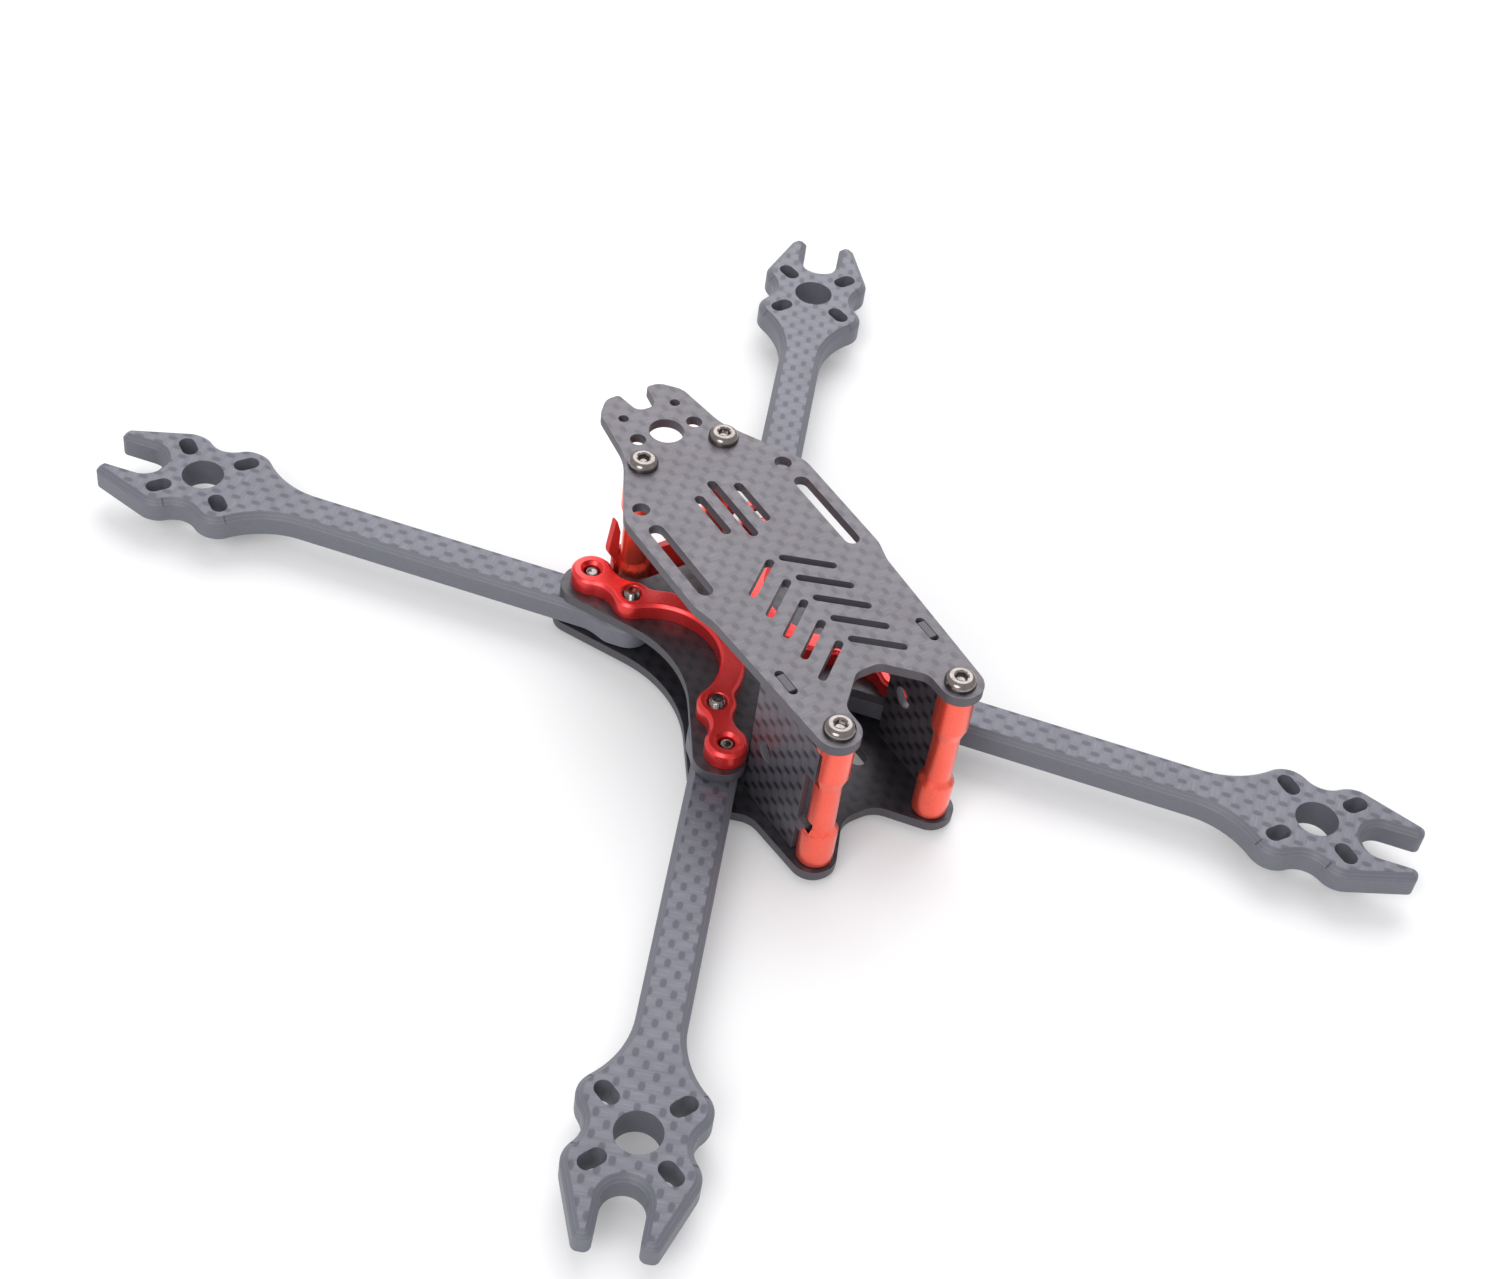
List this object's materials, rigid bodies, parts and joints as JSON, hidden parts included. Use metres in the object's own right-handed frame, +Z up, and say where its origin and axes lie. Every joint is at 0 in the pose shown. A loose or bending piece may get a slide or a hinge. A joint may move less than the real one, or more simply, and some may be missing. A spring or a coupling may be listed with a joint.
{
  "type": "racing drone frame",
  "caption": "Bare X racing quadcopter frame: carbon plates and chamfered arms, red posts and braces, upright side plates at the nose.",
  "frame": {"origin": "centre of the frame in plan, at the height of the lowest screw heads", "axes": "+Z up, nose towards -Y, the drone's own left towards +X"},
  "size_m": [0.1768, 0.2058, 0.0378],
  "materials": {
    "carbon": "satin",
    "red_aluminium": "anodised satin",
    "red_bracket": "matte",
    "screw_steel": "satin"
  },
  "bodies": {
    "root": {"bottom_plate": "carbon", "mid_plate": "carbon", "top_plate": "carbon", "side_plate_left": "carbon", "side_plate_right": "carbon", "arm_front_left": "carbon", "arm_front_right": "carbon", "arm_rear_left": "carbon", "arm_rear_right": "carbon", "brace_left": "red_aluminium", "brace_right": "red_aluminium", "post_front_left": "red_aluminium", "post_front_right": "red_aluminium", "post_rear_left": "red_aluminium", "post_rear_right": "red_aluminium", "rear_bracket": "red_bracket", "screws_top": "screw_steel", "screws_post_foot": "screw_steel", "screws_arm_outer": "screw_steel", "screws_arm_inner": "screw_steel"}
  },
  "joints": []
}
